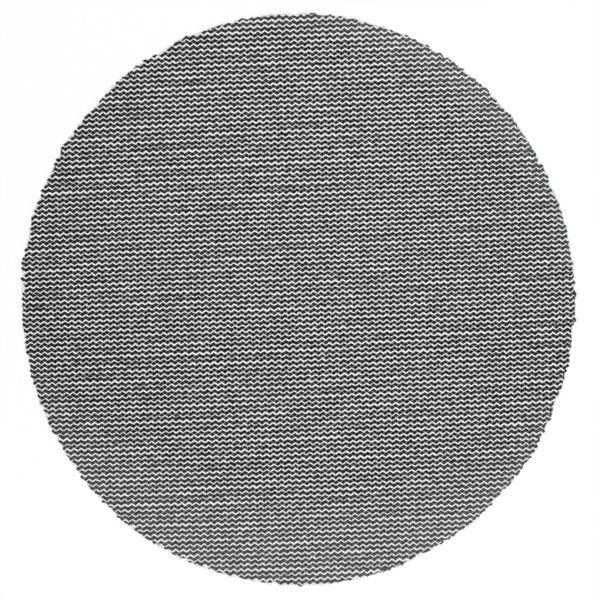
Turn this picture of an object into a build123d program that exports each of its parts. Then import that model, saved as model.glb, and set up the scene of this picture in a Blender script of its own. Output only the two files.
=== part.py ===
from build123d import *
import math
import os

# Mesh sanding disc, lying with its abrasive side up.
# Z = 0 is the grip side that the pad takes hold of, X runs along the knitted rows.
# All sizes in millimetres.

# Die-cut outline
DISC_ALONG_ROWS = 147.7
DISC_ACROSS_ROWS = 152.3

# Knitted rows
ROW_PITCH = 1.391
ROW_COUNT = 109
ROW_OFFSET = -0.22          # where the cut falls across the rows

# Section of one row: loop pile below, coated stitches above
FOOT_WIDTH = 0.62           # width of the row on the pad
ROW_WIDTH = 0.95            # widest part of the row
BELLY_BOTTOM = 0.34         # where the pile has spread to the full width
BELLY_TOP = 0.70            # where the stitches start to close in
CREST_WIDTH = 0.46
DISC_THICKNESS = 1.10

# Ground that holds the rows together
GROUND_BOTTOM = 0.38
GROUND_TOP = 0.58
GROUND_INSET = 0.15         # the cut row ends stand this far out of the ground
EDGE_BAND = 0.8             # width left whole inside the cut edge, where the gaps stop
SLOT_WIDTH = ROW_PITCH - ROW_WIDTH / 2   # reaches into the row on each side

CUT_ALLOWANCE = 1.0         # how far rows and cutters run past each other before a cut


def outline(inset=0.0):
    """The die-cut edge, or a line set in from it."""
    return Ellipse(DISC_ALONG_ROWS / 2 - inset, DISC_ACROSS_ROWS / 2 - inset)


def chord(y, inset=0.0):
    """Length along X inside the outline, at a distance y from the middle of the disc."""
    across = DISC_ACROSS_ROWS / 2 - inset
    along = DISC_ALONG_ROWS - 2 * inset
    return along * math.sqrt(1 - (y / across) ** 2)


def row_centre(index):
    """Distance of a row from the middle of the disc."""
    return ROW_OFFSET + index * ROW_PITCH


def row_section(y):
    """Section of one row in the YZ plane: flat foot, spreading pile, rounded crest."""
    half_widths_and_heights = [
        (FOOT_WIDTH / 2, 0),
        (ROW_WIDTH / 2, BELLY_BOTTOM),
        (ROW_WIDTH / 2, BELLY_TOP),
        (CREST_WIDTH / 2, DISC_THICKNESS),
    ]
    right = [(y + half, height) for half, height in half_widths_and_heights]
    left = [(y - half, height) for half, height in reversed(half_widths_and_heights)]
    with BuildSketch(Plane.YZ) as section:
        with BuildLine():
            Polyline(*right, *left, close=True)
        make_face()
    return section.sketch


def row(index):
    """One knitted row, cut off at the outline."""
    y = row_centre(index)
    inner_edge = max(0.0, abs(y) - ROW_WIDTH / 2)
    length = chord(inner_edge) + 2 * CUT_ALLOWANCE
    bar = extrude(row_section(y), amount=length / 2, both=True)
    cutter = extrude(outline(), amount=DISC_THICKNESS + CUT_ALLOWANCE, both=True)
    return bar & cutter


def slot(index):
    """The open gap between a row and the next, up to the band inside the cut edge."""
    y = row_centre(index) + ROW_PITCH / 2
    length = chord(abs(y) + SLOT_WIDTH / 2, EDGE_BAND)
    return Pos(0, y, GROUND_TOP) * Box(length, SLOT_WIDTH, DISC_THICKNESS)


def ground():
    """The thin wall that joins the rows, with one slot between each row and the next."""
    wall = Pos(0, 0, GROUND_BOTTOM) * extrude(outline(GROUND_INSET), amount=GROUND_TOP - GROUND_BOTTOM)
    half = ROW_COUNT // 2
    return wall - [slot(index) for index in range(-half, half)]


def disc():
    """Rows and ground as one piece."""
    half = ROW_COUNT // 2
    return ground() + [row(index) for index in range(-half, half + 1)]


os.makedirs("parts", exist_ok=True)
export_step(disc(), "parts/abrasive_mesh.step")
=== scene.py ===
"""Mesh sanding disc: the look of a die-cut disc of knitted mesh with a gritty working side.

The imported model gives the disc's true size and place. This script lays the knit out on it: the coated
stitches, the yarn under them, the fine threads across the open gaps, the loop pile of the grip side
and the cut ends along the edge.
"""

import logging
import math
from dataclasses import dataclass, fields
from enum import Enum, IntEnum
from types import SimpleNamespace
from typing import Dict, List, Optional, Sequence, Tuple, Union

import bpy
from bpy.types import ID, Material, NodeSocket, NodeTree, Object
from mathutils import Matrix, Vector


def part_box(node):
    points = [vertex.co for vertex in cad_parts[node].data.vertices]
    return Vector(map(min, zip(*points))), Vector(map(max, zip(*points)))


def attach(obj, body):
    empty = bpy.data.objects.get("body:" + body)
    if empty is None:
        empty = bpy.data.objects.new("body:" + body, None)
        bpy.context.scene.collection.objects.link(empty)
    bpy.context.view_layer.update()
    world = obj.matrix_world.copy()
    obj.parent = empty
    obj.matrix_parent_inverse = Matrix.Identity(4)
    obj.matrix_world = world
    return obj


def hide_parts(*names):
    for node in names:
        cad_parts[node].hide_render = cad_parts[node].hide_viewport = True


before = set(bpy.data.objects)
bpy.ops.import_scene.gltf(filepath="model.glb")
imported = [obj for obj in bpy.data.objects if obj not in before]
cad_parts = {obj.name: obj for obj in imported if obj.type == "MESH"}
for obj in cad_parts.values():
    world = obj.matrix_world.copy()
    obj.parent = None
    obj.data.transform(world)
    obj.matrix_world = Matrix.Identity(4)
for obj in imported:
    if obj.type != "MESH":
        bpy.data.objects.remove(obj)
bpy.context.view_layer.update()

log = logging.getLogger("mesh_sanding_disc")

MM = 0.001
BODY = "root"
NODE = "abrasive_mesh"
BAKE_MAP = "OFBake"

Colour = Tuple[float, float, float]
Place = Tuple[float, float, float]
WHITE: Colour = (1.0, 1.0, 1.0)
RAYS_THAT_SHOW = ("Camera", "Glossy", "Transmission")
PULL_TERMS = ("u", "v", "uu", "uv", "vv", "uuu", "uuv", "uvv", "vvv")
QUARTER_TURN = 0.25

# Each family of threads or loops takes its seeds from the next ten.
SEEDS_PER_FAMILY = 10

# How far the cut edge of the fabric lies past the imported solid, in millimetres.
PAST_ROW_ENDS = 0.36
PAST_LAST_ROWS = 0.66

Value = Union["Signal", List["Signal"], float, int, bool, str, Sequence[float], ID]
Key = Union[str, int]
Inputs = Dict[Key, Value]


class Draw(IntEnum):
    """The seed of each random draw. Threads and loops take the numbers after theirs too."""

    TONE = 11
    STITCH_ALONG = 21
    STITCH_ACROSS = 22
    STITCH_SINK = 23
    STITCH_WIDTH = 31
    STITCH_LENGTH = 32
    STITCH_HEIGHT = 33
    STITCH_ROLL = 34
    STITCH_PITCH = 35
    STITCH_YAW = 36
    YARN_ACROSS = 41
    YARN_YAW = 42
    YARN_WIDTH = 43
    YARN_TONE = 45
    THREADS = 51
    LOOPS = 71
    END_HEIGHT = 81
    END_TONE = 82
    END_DROOP = 83
    END_FAN = 84
    END_LENGTH = 85


def new_object(name: str, data: ID) -> Object:
    """Make an object and put it in the scene.

    Args:
        name: its name.
        data: its mesh, lamp or camera.

    Returns:
        The object.
    """
    item = bpy.data.objects.new(name, data)
    bpy.context.scene.collection.objects.link(item)
    return item


class Signal:
    """One output of a node, for use in Python expressions."""

    def __init__(self, maker: "TreeMaker", socket: Optional[NodeSocket]) -> None:
        """Keep the socket and the tree it belongs to."""
        self.maker = maker
        self.socket = socket

    def __add__(self, other: Value) -> "Signal":
        """Add a value or a signal."""
        return self.maker.math("ADD", self, other)

    def __radd__(self, other: Value) -> "Signal":
        """Add to a value."""
        return self.maker.math("ADD", other, self)

    def __sub__(self, other: Value) -> "Signal":
        """Subtract a value or a signal."""
        return self.maker.math("SUBTRACT", self, other)

    def __rsub__(self, other: Value) -> "Signal":
        """Subtract from a value."""
        return self.maker.math("SUBTRACT", other, self)

    def __mul__(self, other: Value) -> "Signal":
        """Multiply by a value or a signal."""
        return self.maker.math("MULTIPLY", self, other)

    def __rmul__(self, other: Value) -> "Signal":
        """Multiply a value."""
        return self.maker.math("MULTIPLY", other, self)

    def __truediv__(self, other: Value) -> "Signal":
        """Divide by a value or a signal."""
        return self.maker.math("DIVIDE", self, other)

    def __rtruediv__(self, other: Value) -> "Signal":
        """Divide a value."""
        return self.maker.math("DIVIDE", other, self)

    def __gt__(self, other: Value) -> "Signal":
        """One where the signal is greater, otherwise zero."""
        return self.maker.math("GREATER_THAN", self, other)

    def __lt__(self, other: Value) -> "Signal":
        """One where the signal is less, otherwise zero."""
        return self.maker.math("LESS_THAN", self, other)

    def cos(self) -> "Signal":
        """Cosine of an angle in radians."""
        return self.maker.math("COSINE", self)

    def root(self) -> "Signal":
        """Square root."""
        return self.maker.math("SQRT", self)

    def highest(self, other: Value) -> "Signal":
        """The higher of two."""
        return self.maker.math("MAXIMUM", self, other)

    def lowest(self, other: Value) -> "Signal":
        """The lower of two."""
        return self.maker.math("MINIMUM", self, other)

    def part(self, axis: int) -> "Signal":
        """One coordinate of a vector: 0, 1 or 2."""
        return self.maker.node("ShaderNodeSeparateXYZ", inputs={"Vector": self}, output=axis)


class TreeMaker:
    """Adds nodes to a tree, shader or geometry, and links them."""

    def __init__(self, tree: NodeTree) -> None:
        """Work on the given tree."""
        self.tree = tree

    def node(
        self,
        kind: str,
        settings: Optional[Dict[str, object]] = None,
        inputs: Optional[Inputs] = None,
        output: Key = 0,
    ) -> Signal:
        """Add one node.

        Args:
            kind: the node's type.
            settings: properties of the node, set first.
            inputs: values, signals or lists of signals for the node's sockets, by name or number.
            output: which output to give back, by name or number.

        Returns:
            The chosen output. A tree's last node has none.
        """
        node = self.tree.nodes.new(kind)
        for name, value in (settings or {}).items():
            setattr(node, name, value)
        for key, value in (inputs or {}).items():
            self._feed(self._pick(node.inputs, key), value)
        return Signal(self, self._pick(node.outputs, output) if node.outputs else None)

    def math(self, operation: str, *values: Value) -> Signal:
        """Add one Math node, with its values in the order of its sockets."""
        return self.node("ShaderNodeMath", {"operation": operation}, dict(enumerate(values)))

    def vector_math(self, operation: str, first: Value, second: Value) -> Signal:
        """Add one Vector Math node on two vectors."""
        return self.node("ShaderNodeVectorMath", {"operation": operation}, {0: first, 1: second})

    def scaled(self, vector: Value, factor: Value) -> Signal:
        """Multiply a vector by a number."""
        return self.node("ShaderNodeVectorMath", {"operation": "SCALE"}, {0: vector, "Scale": factor})

    def vector(self, x: Value, y: Value, z: Value) -> Signal:
        """Join three numbers into a vector."""
        return self.node("ShaderNodeCombineXYZ", inputs={"X": x, "Y": y, "Z": z})

    @staticmethod
    def _pick(sockets: Sequence[NodeSocket], key: Key) -> NodeSocket:
        """Find a socket in use by its number, name or identifier."""
        named = (s for s in sockets if s.enabled and key in (s.name, s.identifier))
        return sockets[key] if isinstance(key, int) else next(named)

    def _feed(self, socket: NodeSocket, value: Value) -> None:
        """Link one or several signals to a socket, or set the socket's own value.

        Args:
            socket: the socket to feed.
            value: a signal, a list of signals or a value. A colour has three numbers.
        """
        signals = value if isinstance(value, list) else [value]
        if isinstance(signals[0], Signal):
            for signal in signals:
                self.tree.links.new(signal.socket, socket)
        else:
            socket.default_value = (*value, 1.0) if socket.type == "RGBA" else value


class FinishTree(TreeMaker):
    """The node tree of one material."""

    def __init__(self, name: str) -> None:
        """Make an empty material.

        Args:
            name: the material's name.
        """
        self.material = bpy.data.materials.new(name)
        self.material.use_nodes = True
        super().__init__(self.material.node_tree)
        self.tree.nodes.clear()
        self.place = self.node("ShaderNodeTexCoord", output="Object")

    def noise(self, along: float, across: float) -> Signal:
        """Soft random variation, about 0.5 on average.

        Args:
            along: the length of its blotches along the rows, in millimetres.
            across: their length the other ways.

        Returns:
            The variation.
        """
        scale = tuple(1.0 / (size * MM) for size in (along, across, across))
        place = self.vector_math("MULTIPLY", self.place, scale)
        return self.node("ShaderNodeTexNoise", inputs={"Vector": place, "Scale": 1.0, "Detail": 2.0})

    def attribute(self, name: str) -> Signal:
        """Read a number stored on the mesh."""
        return self.node("ShaderNodeAttribute", {"attribute_name": name}, output="Fac")

    def mix(self, share: Value, first: Value, second: Value) -> Signal:
        """Mix two colours by the share of the second."""
        inputs = {"Factor": share, "A": first, "B": second}
        return self.node("ShaderNodeMix", {"data_type": "RGBA"}, inputs, output="Result")

    def bump(self, height: Signal, depth: float) -> Signal:
        """Bend the normal by a height from 0 to 1, which stands for a depth in millimetres."""
        inputs = {"Height": height, "Distance": depth * MM, "Strength": 1.0}
        return self.node("ShaderNodeBump", inputs=inputs)

    def close(self, settings: Inputs) -> Material:
        """Finish the material with one Principled shader.

        Args:
            settings: values and signals for the shader's sockets.

        Returns:
            The material.
        """
        shader = self.node("ShaderNodeBsdfPrincipled", inputs=settings)
        self.node("ShaderNodeOutputMaterial", inputs={"Surface": shader})
        return self.material


@dataclass(frozen=True)
class PaintedSheenRim:
    """Where painted sheen lightens the coating: outside a circle, in millimetres from the middle of the
    disc.
    """

    centre_along: float
    centre_across: float
    starts: float
    band: float

    def share(self, x: Signal, y: Signal) -> Signal:
        """How much painted sheen a place takes: 0 inside the circle, growing to 1 over the band."""
        along, across = x - self.centre_along, y - self.centre_across
        return (((along * along + across * across).root() - self.starts) * (1.0 / self.band)).highest(0.0)


@dataclass(frozen=True)
class GritCoating:
    """Charcoal resin full of fine abrasive grain, thinner on the cut rim and at the foot of each stitch,
    with painted sheen toward the rim and painted shade on the left.
    """

    half_along: float
    half_across: float

    resin: Colour = (0.0045, 0.0067, 0.0055)
    grain: Colour = (0.088, 0.101, 0.093)
    worn_grain: Colour = (0.034, 0.041, 0.0365)
    # The pale colour of the painted sheen toward the rim
    painted_sheen_colour: Colour = (0.160, 0.176, 0.166)
    bare_foot: Colour = (0.36, 0.385, 0.37)

    # The grain: its size, its relief and how it shines
    grain_size: float = 0.11
    grain_depth: float = 0.08
    grain_relief: float = 0.4
    facet_relief: float = 0.6
    lump_relief: float = 0.5
    roughness: float = 0.62
    facet_gloss: float = 0.25
    lustre: float = 0.12
    glitter: float = 0.29
    glitter_reach: float = 0.45

    # What makes one stitch paler than the next
    tone_share: float = 0.55
    streak_share: float = 0.5
    streak_length: float = 14.0
    streak_width: float = 1.3
    lump_share: float = 0.35
    lump_size: float = 0.38
    wear_from: float = 0.47
    wear_slope: float = 1.1

    # How the coating thins up the side of a stitch and at the cut edge; painted sheen toward the rim,
    # painted shade on the left and a darker band across the rows
    coat_starts: float = 0.38
    coat_whole: float = 0.52
    painted_sheen_rims: Tuple[PaintedSheenRim, ...] = (
        PaintedSheenRim(5.0, 40.0, 89.0, 65.0),
        PaintedSheenRim(-14.0, -14.0, 86.0, 22.0),
        PaintedSheenRim(-30.0, 30.0, 113.3, 17.0),
    )
    # Painted shade: the left side of the disc is darker
    left_shade_from: float = 45.0
    left_shade_band: float = 90.0
    # A darker band across the rows, a little below the middle
    dark_band_row: float = -12.0
    dark_band_width: float = 11.0
    dark_band_share: float = 0.20
    cut_from: float = 0.965
    cut_wear: float = 6.0

    def make(self) -> Material:
        """Build the material.

        Returns:
            The material.
        """
        tree = FinishTree("grit_coating")
        cells = {"Vector": tree.place, "Scale": 1.0 / (self.grain_size * MM), "Randomness": 1.0}
        grain = tree.node("ShaderNodeTexVoronoi", {"feature": "F1"}, cells, output="Distance")
        facet = tree.node("ShaderNodeTexVoronoi", {"feature": "F1"}, cells, output="Color").part(0)
        lump = tree.noise(self.lump_size, self.lump_size)
        streak = tree.noise(self.streak_length, self.streak_width)
        x = tree.place.part(0) * (1.0 / MM)
        y = tree.place.part(1) * (1.0 / MM)
        # Painted shade: the coating darkens toward the left side of the disc.
        painted_left_shade = ((x * -1.0 - self.left_shade_from) * (1.0 / self.left_shade_band)).highest(0.0)
        # A darker band across the rows, a little below the middle of the disc.
        off = (y - self.dark_band_row) * (1.0 / self.dark_band_width)
        dark_band = (1.0 - off * off).highest(0.0) * self.dark_band_share
        u = x * (1.0 / self.half_along)
        v = y * (1.0 / self.half_across)
        cut = ((u * u + v * v).root() - self.cut_from).highest(0.0) * self.cut_wear
        shade = self.tone_share * tree.attribute("tone") + self.streak_share * streak
        shade = shade + self.lump_share * lump - painted_left_shade - dark_band + cut
        # Worn grain shows where the tone is high; the painted shade on the left and the darker band pull
        # toward bare resin.
        dark = tree.mix((shade - self.wear_from) * self.wear_slope, self.resin, self.worn_grain)
        shine = facet * facet * facet * (grain < self.glitter_reach)
        coated = tree.mix(shine * self.glitter, dark, self.grain)
        # Painted sheen: the coating turns paler toward the rim, most of all toward the bottom.
        for rim in self.painted_sheen_rims:
            coated = tree.mix(rim.share(x, y), coated, self.painted_sheen_colour)
        fade = (self.coat_whole - self.coat_starts) * MM
        bare = (self.coat_whole * MM - tree.place.part(2)) * (1.0 / fade)
        colour = tree.mix(bare, coated, self.bare_foot)
        height = (1.0 - grain) * (self.grain_relief + self.facet_relief * facet) + lump * self.lump_relief
        return tree.close({
            "Base Color": colour,
            "Roughness": self.roughness - self.facet_gloss * facet,
            "Specular IOR Level": self.lustre,
            "Normal": tree.bump(height, self.grain_depth),
        })


@dataclass(frozen=True)
class BareYarn:
    """Bright filament yarn of polyamide, with a soft lustre."""

    name: str = "bare_yarn"
    shaded: Colour = (0.70, 0.745, 0.715)
    pale: Colour = (0.87, 0.915, 0.885)
    blotch_size: float = 1.6
    strand_size: float = 0.04
    strand_depth: float = 0.012
    tone_share: float = 0.6
    blotch_share: float = 0.9
    blotch_middle: float = 0.35
    strand_share: float = 0.25
    roughness: float = 0.38
    strand_roughness: float = 0.2
    lustre: float = 0.5
    sheen: float = 0.15

    def make(self) -> Material:
        """Build the material.

        Returns:
            The material.
        """
        tree = FinishTree(self.name)
        blotch = tree.noise(self.blotch_size, self.blotch_size)
        strand = tree.noise(self.strand_size, self.strand_size)
        share = self.tone_share * tree.attribute("tone") + self.blotch_share * (blotch - self.blotch_middle)
        share = share + self.strand_share * strand
        return tree.close({
            "Base Color": tree.mix(share, self.shaded, self.pale),
            "Roughness": self.roughness + self.strand_roughness * strand,
            "Specular IOR Level": self.lustre,
            "Sheen Weight": self.sheen,
            "Normal": tree.bump(strand, self.strand_depth),
        })


@dataclass(frozen=True)
class SoakedYarn(BareYarn):
    """The same yarn thinly soaked with resin, between the coated stitches."""

    name: str = "soaked_yarn"
    shaded: Colour = (0.16, 0.176, 0.166)
    pale: Colour = (0.70, 0.735, 0.71)
    blotch_size: float = 0.5
    strand_size: float = 0.05
    strand_depth: float = 0.02
    tone_share: float = 1.0
    blotch_share: float = 0.8
    blotch_middle: float = 0.5
    strand_share: float = 0.0
    roughness: float = 0.5
    strand_roughness: float = 0.25
    lustre: float = 0.3
    sheen: float = 0.0


class GeometryTree(TreeMaker):
    """A geometry tree whose sizes are named inputs."""

    def __init__(self, name: str) -> None:
        """Make an empty tree with a geometry in and out.

        Args:
            name: the tree's name.
        """
        tree = bpy.data.node_groups.new(name, "GeometryNodeTree")
        tree.interface.new_socket("Geometry", in_out="INPUT", socket_type="NodeSocketGeometry")
        tree.interface.new_socket("Geometry", in_out="OUTPUT", socket_type="NodeSocketGeometry")
        super().__init__(tree)
        self.entry = tree.nodes.new("NodeGroupInput")
        self.values: Dict[str, float] = {}
        self.known: Dict[int, SimpleNamespace] = {}

    def size(self, name: str, value: Union[int, float]) -> Signal:
        """Add a named size.

        Args:
            name: what the size is.
            value: its value. A whole number makes a whole-number input.

        Returns:
            The input's signal.
        """
        kind = "NodeSocketInt" if isinstance(value, int) else "NodeSocketFloat"
        socket = self.tree.interface.new_socket(name, in_out="INPUT", socket_type=kind)
        self.values[socket.identifier] = value
        return Signal(self, next(s for s in self.entry.outputs if s.identifier == socket.identifier))

    def sizes_of(self, owner: object) -> SimpleNamespace:
        """Make every number among a sub-part's sizes a named input.

        Args:
            owner: the dataclass that holds the sizes.

        Returns:
            A signal for each size, under the size's own name.
        """
        if id(owner) not in self.known:
            numbers = {f.name: getattr(owner, f.name) for f in fields(owner)}
            self.known[id(owner)] = SimpleNamespace(**{
                name: self.size(f"{type(owner).__name__} {name.replace('_', ' ')}", value)
                for name, value in numbers.items() if isinstance(value, (int, float))
            })
        return self.known[id(owner)]

    def random(self, low: Value, high: Value, seed: int) -> Signal:
        """A random number for each element, between the lowest and the highest."""
        inputs = {"Min": low, "Max": high, "Seed": int(seed)}
        return self.node("FunctionNodeRandomValue", {"data_type": "FLOAT"}, inputs, output="Value")

    def spread(self, amount: Value, seed: int) -> Signal:
        """A random number from minus an amount to plus that amount."""
        return self.random(-1.0, 1.0, seed) * amount

    def position(self) -> Signal:
        """Where each element lies."""
        return self.node("GeometryNodeInputPosition")

    def stored(self, name: str) -> Signal:
        """Read a number stored under a name."""
        settings = {"data_type": "FLOAT"}
        return self.node("GeometryNodeInputNamedAttribute", settings, {"Name": name}, "Attribute")

    def store(self, geometry: Signal, name: str, value: Value) -> Signal:
        """Store a number on every point.

        Args:
            geometry: the points or mesh.
            name: the name to store it under.
            value: the number.

        Returns:
            The geometry with the number on it.
        """
        settings = {"data_type": "FLOAT", "domain": "POINT"}
        inputs = {"Geometry": geometry, "Name": name, "Value": value}
        return self.node("GeometryNodeStoreNamedAttribute", settings, inputs)

    def moved(self, geometry: Signal, offset: Signal) -> Signal:
        """Move every point by an offset in metres."""
        return self.node("GeometryNodeSetPosition", inputs={"Geometry": geometry, "Offset": offset})

    def placed(self, geometry: Signal, place: Signal) -> Signal:
        """Put every point at a place in metres."""
        return self.node("GeometryNodeSetPosition", inputs={"Geometry": geometry, "Position": place})

    def without(self, geometry: Signal, removed: Signal) -> Signal:
        """Leave points out where the signal isn't zero."""
        inputs = {"Geometry": geometry, "Selection": removed}
        return self.node("GeometryNodeDeleteGeometry", {"domain": "POINT"}, inputs)

    def copies(
        self,
        points: Signal,
        helper: Object,
        turn: Tuple[Value, Value, Value],
        stretch: Tuple[Value, Value, Value],
        selection: Value = True,
    ) -> Signal:
        """Put a copy of a small object on each point.

        Args:
            points: the points.
            helper: the object.
            turn: angles about X, Y and Z in radians.
            stretch: factors along the object's own X, Y and Z.
            selection: which points get a copy.

        Returns:
            The copies, as instances.
        """
        shape = self.node("GeometryNodeObjectInfo", inputs={"Object": helper}, output="Geometry")
        rotation = self.node("FunctionNodeEulerToRotation", inputs={"Euler": self.vector(*turn)})
        return self.node("GeometryNodeInstanceOnPoints", inputs={
            "Points": points, "Selection": selection, "Instance": shape,
            "Rotation": rotation, "Scale": self.vector(*stretch),
        })

    def joined(self, parts: List[Signal]) -> Signal:
        """Join several geometries."""
        return self.node("GeometryNodeJoinGeometry", inputs={"Geometry": parts})

    def realized(self, copies: Signal) -> Signal:
        """Turn copies into plain mesh."""
        return self.node("GeometryNodeRealizeInstances", inputs={"Geometry": copies})

    def noise(self, size: Value, output: str = "Fac", place: Optional[Signal] = None) -> Signal:
        """Soft random variation about 0.5, in blotches of a size in millimetres."""
        inputs = {"Vector": place or self.position(), "Scale": 1.0 / (size * MM), "Detail": 1.0}
        return self.node("ShaderNodeTexNoise", inputs=inputs, output=output)

    def laid_flat(self, geometry: Signal) -> Signal:
        """Give the mesh a map of itself seen from above, through which its finish can be baked.

        Args:
            geometry: the mesh.

        Returns:
            The mesh with the map.
        """
        box = {"Geometry": geometry}
        low = self.node("GeometryNodeBoundBox", inputs=box, output="Min")
        high = self.node("GeometryNodeBoundBox", inputs=box, output="Max")
        across = self.vector_math("SUBTRACT", high, low)
        place = self.vector_math("DIVIDE", self.vector_math("SUBTRACT", self.position(), low), across)
        settings = {"data_type": "FLOAT2", "domain": "CORNER"}
        inputs = {"Geometry": geometry, "Name": BAKE_MAP, "Value": place}
        return self.node("GeometryNodeStoreNamedAttribute", settings, inputs)

    def make(
        self,
        name: str,
        copies: Signal,
        finish: Material,
        helpers: Sequence[Object],
    ) -> Object:
        """Run the tree once and keep its result as a plain mesh.

        Args:
            name: the piece's name.
            copies: the end of the tree's work, still in instances or not.
            finish: the piece's material.
            helpers: objects that the tree copies, removed afterwards.

        Returns:
            The finished piece.
        """
        flat = self.laid_flat(self.realized(copies))
        smooth = self.node("GeometryNodeSetShadeSmooth", inputs={"Geometry": flat})
        dressed = self.node("GeometryNodeSetMaterial", inputs={"Geometry": smooth, "Material": finish})
        self.node("NodeGroupOutput", inputs={0: dressed})
        carrier = new_object(name, bpy.data.meshes.new(name))
        modifier = carrier.modifiers.new("knit", "NODES")
        modifier.node_group = self.tree
        for identifier, value in self.values.items():
            modifier[identifier] = value
        evaluated = carrier.evaluated_get(bpy.context.evaluated_depsgraph_get())
        mesh = bpy.data.meshes.new_from_object(evaluated)
        carrier.modifiers.remove(modifier)
        carrier.data = mesh
        mesh.name = name
        for helper in helpers:
            bpy.data.objects.remove(helper)
        return carrier


class Line(Enum):
    """Which line of the knit a repeated shape follows, in rows."""

    ROW = 0.0
    GAP = 0.5


@dataclass(frozen=True)
class Knit:
    """Where the rows, stitches and cut edge of the knit lie, in millimetres.

    A turn is one full zigzag along a row: it has one stitch at its top and one at its foot. The knit
    isn't quite square: the two pulls say how far it has drawn out of true, by the terms in PULL_TERMS.
    Each row also drifts up and down, out of step with its neighbours, so that the gaps open and close.
    """

    half_along: float
    half_across: float
    thickness: float
    row_pitch: float = 1.393
    row_count: int = 113
    row_offset: float = -0.374
    turn_pitch: float = 1.9274
    turn_count: int = 81
    turn_offset: float = 0.201
    lean: float = 0.0174
    turn_pull: Tuple[float, ...] = (0.430, -0.006, 0.717, 0.075, 0.114, -0.856, 0.426, -0.218, -0.266)
    row_pull: Tuple[float, ...] = (-0.067, 0.035, 0.293, 0.389, 0.356, 0.323, -0.832, -0.004, 0.340)
    row_drift: float = 0.39
    drift_length: float = 30.0
    drift_step: float = 0.75
    sharpness: float = 1 / 18
    edge_wander: float = 0.80
    wander_length: float = 8.0
    fray: float = 1.35
    fray_length: float = 1.3
    kept_past_cut: float = 0.05

    def points(self, tree: GeometryTree, line: Line, per_turn: int, shift: float, swing: Value) -> Signal:
        """Lay points along every row or gap.

        Args:
            tree: the tree to add the points to.
            line: whether they follow the rows or the gaps.
            per_turn: how many there are on each turn.
            shift: how far along, in turns, the first stands from the top of a turn.
            swing: how far up and down they go with the zigzag, in millimetres.

        Returns:
            The points, with "turn" and "tone" stored on them.
        """
        columns = 2 * (per_turn * self.turn_count // 2) + 1
        grid = tree.node("GeometryNodeMeshGrid", inputs={
            "Size X": columns - 1.0, "Size Y": self.row_count - 1.0,
            "Vertices X": columns, "Vertices Y": self.row_count,
        })
        count = tree.position()
        turn = count.part(0) / per_turn + shift
        row = count.part(1) + line.value
        marked = tree.store(grid, "turn", turn)
        placed = tree.placed(marked, self.place(tree, turn, row, swing))
        kept = tree.without(placed, self.reach(tree, tree.sizes_of(self).kept_past_cut) > 1.0)
        points = tree.node("GeometryNodeMeshToPoints", inputs={"Mesh": kept})
        return tree.store(points, "tone", tree.random(0.0, 1.0, Draw.TONE))

    def place(self, tree: GeometryTree, turn: Signal, row: Signal, swing: Value) -> Signal:
        """Work out where a point of the knit lies.

        Args:
            tree: the tree to add the sums to.
            turn: how many turns along the row.
            row: how many rows across.
            swing: how far the zigzag goes up and down, in millimetres.

        Returns:
            The place, in metres.
        """
        size = tree.sizes_of(self)
        across = row * size.row_pitch + size.row_offset
        along = turn * size.turn_pitch + size.turn_offset + across * size.lean
        u = along / size.half_along
        v = across / size.half_across
        angle = turn * math.tau
        zigzag = (angle.cos() + (angle * 3.0).cos() * size.sharpness) * swing
        course = tree.vector(along * MM, row * size.drift_step * size.drift_length * MM, 0.0)
        drift = (tree.noise(size.drift_length, place=course) - 0.5) * size.row_drift
        x = along + self.pulled(tree, "turn pull", self.turn_pull, u, v)
        y = across + self.pulled(tree, "row pull", self.row_pull, u, v) + drift + zigzag
        return tree.vector(x * MM, y * MM, 0.0)

    def pulled(self, tree: GeometryTree, name: str, pull: Sequence[float], u: Signal, v: Signal) -> Signal:
        """Work out how far the knit is drawn out of true at a point.

        Args:
            tree: the tree to add the sums to.
            name: which pull it is.
            pull: millimetres for each of PULL_TERMS.
            u: place along the rows, 1 at the rim.
            v: place across the rows, 1 at the rim.

        Returns:
            The distance, in millimetres.
        """
        sides = {"u": u, "v": v}
        total: Value = 0.0
        for term, amount in zip(PULL_TERMS, pull):
            product = tree.size(f"{name} {term}", amount)
            for letter in term:
                product = product * sides[letter]
            total = product + total
        return total

    def falling(self, turn: Signal) -> Signal:
        """How the row runs at a point: 1 where it falls steepest and -1 where it rises steepest."""
        return ((turn - QUARTER_TURN) * math.tau).cos()

    def reach(self, tree: GeometryTree, overhang: Value = 0.0) -> Signal:
        """How far out a point lies: 1 on the cut edge.

        Args:
            tree: the tree to add the sums to.
            overhang: how far past the cut edge 1 lies, in millimetres.

        Returns:
            The distance from the middle as a share of the edge's.
        """
        size = tree.sizes_of(self)
        place = tree.position()
        wander = (tree.noise(size.wander_length) - 0.5) * size.edge_wander * 2.0
        wander = wander + (tree.noise(size.fray_length) - 0.5) * size.fray * 2.0
        u = place.part(0) / ((size.half_along + overhang) * MM)
        v = place.part(1) / ((size.half_across + overhang) * MM)
        return (u * u + v * v).root() + wander / size.half_along

    def trimmed(self, tree: GeometryTree, geometry: Signal, overhang: Value = 0.0) -> Signal:
        """Press whatever stands past the cut edge back onto it, as a die leaves it, and keep the thickness.

        Args:
            tree: the tree to add the nodes to.
            geometry: the mesh to trim.
            overhang: how far past the edge things may stand, in millimetres.

        Returns:
            The trimmed mesh.
        """
        reach = self.reach(tree, overhang).highest(1.0)
        place = tree.position()
        height = place.part(2).highest(0.0).lowest(tree.sizes_of(self).thickness * MM)
        return tree.placed(geometry, tree.vector(place.part(0) / reach, place.part(1) / reach, height))


def helper_object(name: str, vertices: Sequence[Vector], faces: List[List[int]]) -> Object:
    """Make the small object that a geometry tree copies.

    Args:
        name: its name.
        vertices: its corners, in millimetres.
        faces: its faces, each a list of corners, anticlockwise from outside.

    Returns:
        The object, in metres.
    """
    mesh = bpy.data.meshes.new(name)
    mesh.from_pydata([tuple(v * MM) for v in vertices], [], faces)
    return new_object(name, mesh)


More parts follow.
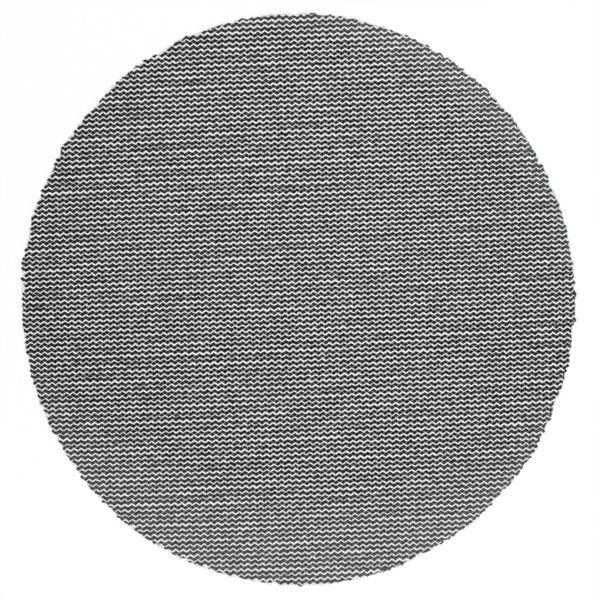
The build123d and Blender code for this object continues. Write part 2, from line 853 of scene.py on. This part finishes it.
def strand(name: str, path: Sequence[Place], radius: float) -> Object:
    """Make a thin closed yarn of three sides, with a ridge on top.

    Args:
        name: its name.
        path: the points that it follows, in millimetres.
        radius: its radius, in millimetres.

    Returns:
        The object.
    """
    sides = 3
    points = [Vector(point) for point in path]
    corners: List[Vector] = []
    for number, point in enumerate(points):
        before = points[max(number - 1, 0)]
        after = points[min(number + 1, len(points) - 1)]
        ahead = (after - before).normalized()
        side = ahead.cross(Vector((0, 0, 1))).normalized()
        up = side.cross(ahead)
        for step in range(sides):
            angle = math.tau * step / sides + math.pi / 2
            corners.append(point + radius * (math.cos(angle) * side + math.sin(angle) * up))
    faces: List[List[int]] = []
    for ring in range(len(points) - 1):
        for step in range(sides):
            a = ring * sides + step
            b = ring * sides + (step + 1) % sides
            faces.append([a, a + sides, b + sides, b])
    last = (len(points) - 1) * sides
    faces += [list(range(sides)), [last + step for step in reversed(range(sides))]]
    return helper_object(name, corners, faces)


def enter(item: Object, stands_for: Optional[str] = None) -> Object:
    """Tell the frame what a finished piece is.

    Args:
        item: the piece.
        stands_for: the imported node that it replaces, if any.

    Returns:
        The piece.
    """
    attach(item, BODY)
    if stands_for:
        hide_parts(stands_for)
    return item


@dataclass(frozen=True)
class Rhomb:
    """Four corners of a stitch seen from above, in millimetres from its middle."""

    right: Tuple[float, float]
    top: Tuple[float, float]
    left: Tuple[float, float]
    bottom: Tuple[float, float]

    def outline(self, fullness: float) -> List[Vector]:
        """Work out its corners and the points between them.

        Args:
            fullness: how far the sides swell: 0.5 is straight, 0.7 is nearly round.

        Returns:
            Eight points, anticlockwise from the right corner.
        """
        corners = [Vector(corner) for corner in (self.right, self.top, self.left, self.bottom)]
        points: List[Vector] = []
        for corner, following in zip(corners, corners[1:] + corners[:1]):
            points += [corner, (corner + following) * fullness]
        return points


@dataclass(frozen=True)
class CoatedStitches:
    """The rows of coated stitches: two rhombs to a turn, one at its top and one at its foot."""

    knit: Knit
    finish: Material
    top_stitch: Rhomb = Rhomb((0.89, -0.06), (-0.03, 0.55), (-0.68, 0.06), (0.20, -0.61))
    foot_stitch: Rhomb = Rhomb((0.97, 0.09), (0.10, 0.61), (-0.68, -0.07), (-0.01, -0.57))
    fullness: float = 0.51
    foot_height: float = 0.42
    crest_spread: float = 0.74
    crest_height: float = 0.94
    swing: float = 0.247
    nudge: float = 0.06
    wobble_along: float = 0.024
    wobble_across: float = 0.018
    sink: float = 0.10
    least_size: float = 0.93
    most_size: float = 1.055
    tilt: float = 0.10
    yaw: float = 0.13
    roughness: float = 0.22
    rough_size: float = 0.33
    streak_size: float = 1.4
    streak_run: float = 11.0
    streak_depth: float = 0.22
    set_back: float = 0.28
    set_back_middle: float = 0.8

    # Where the rows are split into pieces, as shares of the way across
    band_edges: Tuple[float, ...] = (-1.0, 0.365, 0.635, 2.0)

    def rhomb(self, name: str, shape: Rhomb) -> Object:
        """One stitch, 30 triangles.

        Args:
            name: its name.
            shape: its corners.

        Returns:
            The helper object.
        """
        outline = shape.outline(self.fullness)
        corners: List[Vector] = []
        for spread, height in ((1.0, self.foot_height), (self.crest_spread, self.crest_height)):
            corners += [Vector((*point * spread, height)) for point in outline]
        corners.append(Vector((0, 0, self.knit.thickness)))
        count = len(outline)
        faces: List[List[int]] = [list(reversed(range(count)))]
        for step in range(count):
            following = (step + 1) % count
            faces.append([step, following, following + count, step + count])
            faces.append([step + count, following + count, 2 * count])
        return helper_object(name, corners, faces)

    def band_points(self, tree: GeometryTree, number: int) -> Signal:
        """Lay the points of one band of rows.

        Args:
            tree: the tree to add the points to.
            number: which band, counted from the near side.

        Returns:
            The points, each a little off its place.
        """
        size = tree.sizes_of(self)
        points = self.knit.points(tree, Line.ROW, 2, 0.0, size.swing)
        share = tree.position().part(1) / (tree.sizes_of(self.knit).half_across * 2.0 * MM) + 0.5
        low, high = self.band_edges[number:number + 2]
        points = tree.without(points, (share < low).highest(share > high))
        return tree.moved(points, tree.vector(
            (size.nudge + tree.spread(size.wobble_along, Draw.STITCH_ALONG)) * MM,
            tree.spread(size.wobble_across, Draw.STITCH_ACROSS) * MM,
            tree.random(-1.0, 0.0, Draw.STITCH_SINK) * size.sink * MM,
        ))

    def band(self, number: int) -> Object:
        """Build one band of rows, cut off a little inside the yarn but hardly so on the left.

        Args:
            number: which band, counted from the near side.

        Returns:
            The finished piece.
        """
        tree = GeometryTree("coated_stitches")
        size = tree.sizes_of(self)
        points = self.band_points(tree, number)
        run = tree.vector_math("MULTIPLY", tree.position(), tree.vector(1.0 / size.streak_run, 1.0, 1.0))
        streak = (tree.noise(size.streak_size, place=run) - 0.5) * size.streak_depth
        stretch = (
            tree.random(size.least_size, size.most_size, Draw.STITCH_LENGTH),
            tree.random(size.least_size, size.most_size, Draw.STITCH_WIDTH) * (1.0 + streak),
            tree.random(size.least_size, 1.0, Draw.STITCH_HEIGHT),
        )
        turn = (
            tree.spread(size.tilt, Draw.STITCH_ROLL),
            tree.spread(size.tilt, Draw.STITCH_PITCH),
            tree.spread(size.yaw, Draw.STITCH_YAW),
        )
        foot = (tree.stored("turn") * math.tau).cos() < 0.0
        helpers = [self.rhomb("top_stitch", self.top_stitch), self.rhomb("foot_stitch", self.foot_stitch)]
        sets = [
            tree.copies(points, helper, turn, stretch, selection)
            for helper, selection in zip(helpers, (1.0 - foot, foot))
        ]
        uneven = tree.vector_math("SUBTRACT", tree.noise(size.rough_size, "Color"), (0.5, 0.5, 0.5))
        lumpy = tree.moved(tree.realized(tree.joined(sets)), tree.scaled(uneven, size.roughness * MM))
        along = tree.position().part(0) / (tree.sizes_of(self.knit).half_along * MM)
        share = ((along + 1.0) * size.set_back_middle).lowest(1.0)
        mesh = self.knit.trimmed(tree, lumpy, share * size.set_back * -1.0)
        return tree.make(f"coated_stitches_{number + 1}", mesh, self.finish, helpers)

    def build(self) -> List[Object]:
        """Build every band."""
        bands = len(self.band_edges) - 1
        return [enter(self.band(number), NODE) for number in range(bands)]


@dataclass(frozen=True)
class GroundYarn:
    """The flat yarn that runs from stitch to stitch under the coating and shows in the creases."""

    knit: Knit
    finish: Material
    radius: float = 0.32
    flatness: float = 0.72
    height: float = 0.48
    length: float = 1.14
    nudge: float = 0.06
    wobble: float = 0.02
    slope: float = 28.0
    yaw: float = 0.04
    least_size: float = 0.85
    most_size: float = 1.10
    soaked_tone: float = 0.51
    tone_swing: float = 0.35
    tone_spread: float = 0.15
    set_back: float = 0.35

    def build(self) -> List[Object]:
        """Build the yarn of every row as short runs that overlap under the stitches.

        Returns:
            The finished piece.
        """
        tree = GeometryTree("ground_yarn")
        size = tree.sizes_of(self)
        points = self.knit.points(tree, Line.ROW, 2, QUARTER_TURN, 0.0)
        falling = self.knit.falling(tree.stored("turn"))
        tone = size.soaked_tone + falling * size.tone_swing
        points = tree.store(points, "tone", tone + tree.spread(size.tone_spread, Draw.YARN_TONE))
        across = tree.spread(size.wobble, Draw.YARN_ACROSS) * MM
        points = tree.moved(points, tree.vector(size.nudge * MM, across, size.height * MM))
        yaw = falling * size.slope * math.radians(-1.0) + tree.spread(size.yaw, Draw.YARN_YAW)
        half = self.length / 2
        helper = strand("yarn_run", [(-half, 0, 0), (half, 0, 0)], self.radius)
        width = tree.random(size.least_size, size.most_size, Draw.YARN_WIDTH)
        runs = tree.copies(points, helper, (0.0, 0.0, yaw), (1.0, width, width * size.flatness))
        mesh = self.knit.trimmed(tree, tree.realized(runs), size.set_back * -1.0)
        return [enter(tree.make("ground_yarn", mesh, self.finish, [helper]))]


@dataclass(frozen=True)
class GapThreads:
    """Fine bare threads that cross the open gaps, square to them, and hold the rows together."""

    knit: Knit
    finish: Material
    radius: float = 0.068
    length: float = 0.92
    height: float = 0.36
    height_spread: float = 0.03
    swing: float = 0.269
    slope: float = 24.0
    wobble_along: float = 0.05
    wobble_across: float = 0.03
    roll: float = 0.05
    yaw: float = 0.14
    least_size: float = 0.8
    most_size: float = 1.2
    names: Tuple[str, ...] = ("rung_threads", "tie_threads")

    def family(self, number: int) -> Object:
        """Build one family of threads, two to a turn.

        Args:
            number: which family. They take turns along the gap.

        Returns:
            The finished piece.
        """
        seed = Draw.THREADS + SEEDS_PER_FAMILY * number
        tree = GeometryTree(self.names[number])
        size = tree.sizes_of(self)
        shift = (1 + 2 * number) / (4 * len(self.names))
        points = self.knit.points(tree, Line.GAP, 2, shift, size.swing)
        falling = self.knit.falling(tree.stored("turn"))
        points = tree.moved(points, tree.vector(
            tree.spread(size.wobble_along, seed) * MM,
            tree.spread(size.wobble_across, seed + 1) * MM,
            (size.height + tree.spread(size.height_spread, seed + 2)) * MM,
        ))
        # The threads stand where falling is 1 / sqrt(2) or its negative, which is their full slope.
        yaw = falling * size.slope * math.radians(-math.sqrt(2)) + tree.spread(size.yaw, seed + 3)
        half = self.length / 2
        helper = strand("thread", [(-half, 0, 0), (half, 0, 0)], self.radius)
        width = tree.random(size.least_size, size.most_size, seed + 5)
        turn = (0.0, tree.spread(size.roll, seed + 4), yaw + math.pi / 2)
        threads = tree.copies(points, helper, turn, (1.0, width, width))
        mesh = self.knit.trimmed(tree, tree.realized(threads))
        return tree.make(self.names[number], mesh, self.finish, [helper])

    def build(self) -> List[Object]:
        """Build every family."""
        return [enter(self.family(number)) for number in range(len(self.names))]


@dataclass(frozen=True)
class LoopPile:
    """The loops of the grip side, one under each stitch, that the hooks of a pad catch."""

    knit: Knit
    finish: Material
    radius: float = 0.085
    reach: float = 0.92
    curl: float = 0.08
    root_height: float = 0.36
    swing: float = 0.20
    nudge: float = 0.06
    wobble: float = 0.06
    yaw: float = 0.50
    least_size: float = 0.80
    most_size: float = 1.15
    names: Tuple[str, ...] = ("upper_loops", "lower_loops")

    def loop(self) -> Object:
        """One hanging loop, 14 triangles.

        Returns:
            The helper object.
        """
        half = self.reach / 2
        path = [
            (-half, -self.curl / 2, self.root_height),
            (0.0, self.curl, self.radius),
            (half, -self.curl / 2, self.root_height),
        ]
        return strand("loop", path, self.radius)

    def half_pile(self, number: int) -> Object:
        """Build the loops at the tops or at the feet of the turns.

        Args:
            number: 0 for the tops, 1 for the feet.

        Returns:
            The finished piece.
        """
        seed = Draw.LOOPS + SEEDS_PER_FAMILY * number
        tree = GeometryTree(self.names[number])
        size = tree.sizes_of(self)
        points = self.knit.points(tree, Line.ROW, 1, 0.5 * number, size.swing)
        along = (size.nudge + tree.spread(size.wobble, seed)) * MM
        points = tree.moved(points, tree.vector(along, tree.spread(size.wobble, seed + 1) * MM, 0.0))
        helper = self.loop()
        width = tree.random(size.least_size, size.most_size, seed + 3)
        turn = (0.0, 0.0, math.pi * number + tree.spread(size.yaw, seed + 2))
        loops = tree.copies(points, helper, turn, (width, width, 1.0))
        mesh = self.knit.trimmed(tree, tree.realized(loops))
        return tree.make(self.names[number], mesh, self.finish, [helper])

    def build(self) -> List[Object]:
        """Build the whole pile."""
        return [enter(self.half_pile(number)) for number in range(len(self.names))]


@dataclass(frozen=True)
class CutEnds:
    """Ends of bare filament that stand out of the die-cut edge."""

    knit: Knit
    finish: Material
    count: int = 2600
    radius: float = 0.045
    length: float = 0.90
    inset: float = 0.45
    lowest: float = 0.25
    highest: float = 0.62
    droop: float = 0.20
    fan: float = 0.9
    least_length: float = 0.4
    most_length: float = 1.1
    overhang: float = 0.04
    least_tone: float = 0.2
    course: Tuple[Place, ...] = ((0.0, 0.0, 0.0), (0.4, 0.06, 0.02), (1.0, -0.05, -0.04))

    def build(self) -> List[Object]:
        """Build the ends all round the edge.

        Returns:
            The finished piece.
        """
        tree = GeometryTree("cut_ends")
        size = tree.sizes_of(self)
        disc = tree.sizes_of(self.knit)
        circle = {"Vertices": size.count, "Radius": 1.0}
        ring = tree.node("GeometryNodeMeshCircle", {"fill_type": "NONE"}, circle)
        place = tree.position()
        ring = tree.placed(ring, tree.vector(
            place.part(0) * (disc.half_along - size.inset) * MM,
            place.part(1) * (disc.half_across - size.inset) * MM,
            tree.random(size.lowest, size.highest, Draw.END_HEIGHT) * MM,
        ))
        points = tree.node("GeometryNodeMeshToPoints", inputs={"Mesh": ring})
        points = tree.store(points, "tone", tree.random(size.least_tone, 1.0, Draw.END_TONE))
        outward = tree.math("ARCTAN2", tree.position().part(1), tree.position().part(0))
        path = [(x * self.length, y, z) for x, y, z in self.course]
        helper = strand("fibre", path, self.radius)
        droop = tree.spread(size.droop, Draw.END_DROOP)
        length = tree.random(size.least_length, size.most_length, Draw.END_LENGTH)
        turn = (0.0, droop, outward + tree.spread(size.fan, Draw.END_FAN))
        fibres = tree.copies(points, helper, turn, (length, 1.0, 1.0))
        mesh = self.knit.trimmed(tree, tree.realized(fibres), size.overhang)
        return [enter(tree.make("cut_ends", mesh, self.finish, [helper]))]


@dataclass(frozen=True)
class Studio:
    """Floor, soft light and a camera straight above the disc."""

    floor_size: float = 3.0
    floor_colour: Colour = (0.92, 0.92, 0.92)
    glow_share: float = 0.90
    picture_width: float = 160.54
    lens: float = 200.0
    sensor: float = 36.0
    row_rise: float = 2.1
    shift_right: float = 0.43
    shift_down: float = 0.19
    sky: float = 0.60
    key_power: float = 3.9
    key_size: float = 0.45
    key_place: Place = (0.50, -0.25, 0.50)
    fill_power: float = 2.0
    fill_size: float = 1.0
    fill_place: Place = (-0.6, 0.5, 0.9)
    nearest: float = 0.01
    farthest: float = 10.0

    def seen(self, tree: TreeMaker) -> Signal:
        """One for what the camera sees, straight or in a reflection or through glass, otherwise zero."""
        rays = [tree.node("ShaderNodeLightPath", output=f"Is {kind} Ray") for kind in RAYS_THAT_SHOW]
        return rays[0].highest(rays[1]).highest(rays[2])

    def floor(self) -> None:
        """Lay a wide pale floor under the disc."""
        mesh = bpy.data.meshes.new("floor")
        half = self.floor_size / 2
        corners = [(-half, -half, 0), (half, -half, 0), (half, half, 0), (-half, half, 0)]
        mesh.from_pydata(corners, [], [(0, 1, 2, 3)])
        item = new_object("floor", mesh)
        tree = FinishTree("pale_floor")
        diffuse = tree.node("ShaderNodeBsdfDiffuse", inputs={"Color": self.floor_colour})
        glow = tree.node("ShaderNodeEmission", inputs={"Color": WHITE, "Strength": 1.0})
        share = self.seen(tree) * self.glow_share
        surface = tree.node("ShaderNodeMixShader", inputs={0: share, 1: diffuse, 2: glow})
        tree.node("ShaderNodeOutputMaterial", inputs={"Surface": surface})
        mesh.materials.append(tree.material)

    def sky_light(self) -> None:
        """Even soft light from all round, in front of a white backdrop."""
        world = bpy.data.worlds.new("studio_sky")
        world.use_nodes = True
        world.node_tree.nodes.clear()
        tree = TreeMaker(world.node_tree)
        light = tree.node("ShaderNodeBackground", inputs={"Color": WHITE, "Strength": self.sky})
        white = tree.node("ShaderNodeBackground", inputs={"Color": WHITE, "Strength": 1.0})
        surface = tree.node("ShaderNodeMixShader", inputs={0: self.seen(tree), 1: light, 2: white})
        tree.node("ShaderNodeOutputWorld", inputs={"Surface": surface})
        bpy.context.scene.world = world

    def lamp(self, name: str, place: Vector, size: float, power: float) -> None:
        """Hang one soft box that points at the disc.

        Args:
            name: its name.
            place: where it hangs, in metres.
            size: the length of its side, in metres.
            power: its power, in watts.
        """
        light = bpy.data.lights.new(name, "AREA")
        light.shape = "SQUARE"
        light.size = size
        light.energy = power
        item = new_object(name, light)
        item.location = place
        item.rotation_euler = (-place).to_track_quat("-Z", "Y").to_euler()

    def camera(self, height: float) -> None:
        """Look straight down on the disc.

        Args:
            height: height of the disc's working side, in metres.
        """
        data = bpy.data.cameras.new("camera")
        data.lens = self.lens
        data.sensor_width = self.sensor
        data.clip_start = self.nearest
        data.clip_end = self.farthest
        item = new_object("camera", data)
        roll = math.radians(-self.row_rise)
        distance = self.lens / self.sensor * self.picture_width * MM
        aside = Matrix.Rotation(roll, 3, "Z") @ Vector((self.shift_right * MM, -self.shift_down * MM, 0.0))
        item.location = aside + Vector((0.0, 0.0, height + distance))
        item.rotation_euler = (0.0, 0.0, roll)
        bpy.context.scene.camera = item

    def build(self, height: float) -> None:
        """Set everything up.

        Args:
            height: height of the disc's working side, in metres.
        """
        self.floor()
        self.sky_light()
        self.lamp("key_light", Vector(self.key_place), self.key_size, self.key_power)
        self.lamp("fill_light", Vector(self.fill_place), self.fill_size, self.fill_power)
        self.camera(height)
        bpy.context.scene.view_settings.view_transform = "Standard"


def main() -> None:
    """Build the disc and the studio."""
    logging.basicConfig(level=logging.INFO, format="%(name)s %(message)s")
    low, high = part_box(NODE)
    size = (high - low) / MM
    knit = Knit(size.x / 2 + PAST_ROW_ENDS, size.y / 2 + PAST_LAST_ROWS, size.z)
    bare = BareYarn().make()
    assemblies = [
        CoatedStitches(knit, GritCoating(knit.half_along, knit.half_across).make()),
        GroundYarn(knit, SoakedYarn().make()),
        GapThreads(knit, bare),
        LoopPile(knit, bare),
        CutEnds(knit, bare),
    ]
    for assembly in assemblies:
        for piece in assembly.build():
            triangles = sum(len(face.vertices) - 2 for face in piece.data.polygons)
            log.info("%s: %d triangles", piece.name, triangles)
    Studio().build(high.z)


if __name__ == "__main__":
    main()
